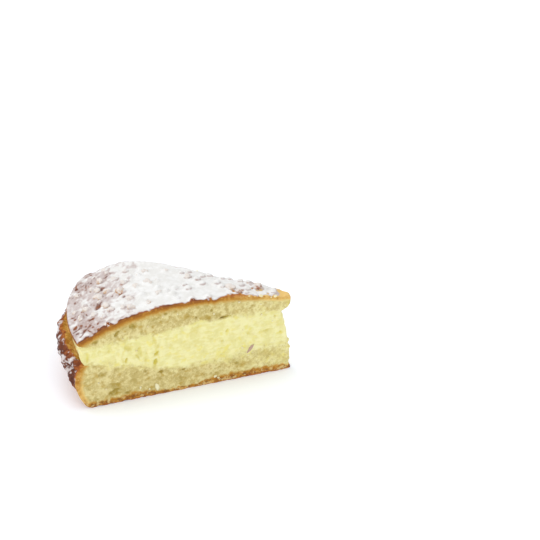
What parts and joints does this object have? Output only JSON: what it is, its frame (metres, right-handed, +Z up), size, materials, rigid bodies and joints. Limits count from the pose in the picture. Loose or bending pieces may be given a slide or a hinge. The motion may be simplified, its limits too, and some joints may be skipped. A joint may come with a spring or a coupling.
{
  "type": "slice of tarte tropezienne",
  "caption": "Slice of cream-filled brioche tart with a domed lid, pearl sugar and icing sugar, cut as a wedge and lying flat.",
  "frame": {"origin": "on the surface the slice rests on, below the centre of its box", "axes": "+X along the slice's centreline, from its curved rim to its tip; +Z up, through the sugared lid"},
  "size_m": [0.1386, 0.0882, 0.0607],
  "materials": {
    "brioche_base": "yellow brioche crumb with a golden brown crust, stands in for baked dough",
    "cream_filling": "soft pale yellow cream, slightly moist",
    "brioche_lid": "golden brown crust under white icing sugar and pearl sugar, yellow crumb on the cut faces"
  },
  "bodies": {
    "root": {"brioche_base": "brioche_base", "cream_filling": "cream_filling", "brioche_lid": "brioche_lid"}
  },
  "joints": []
}
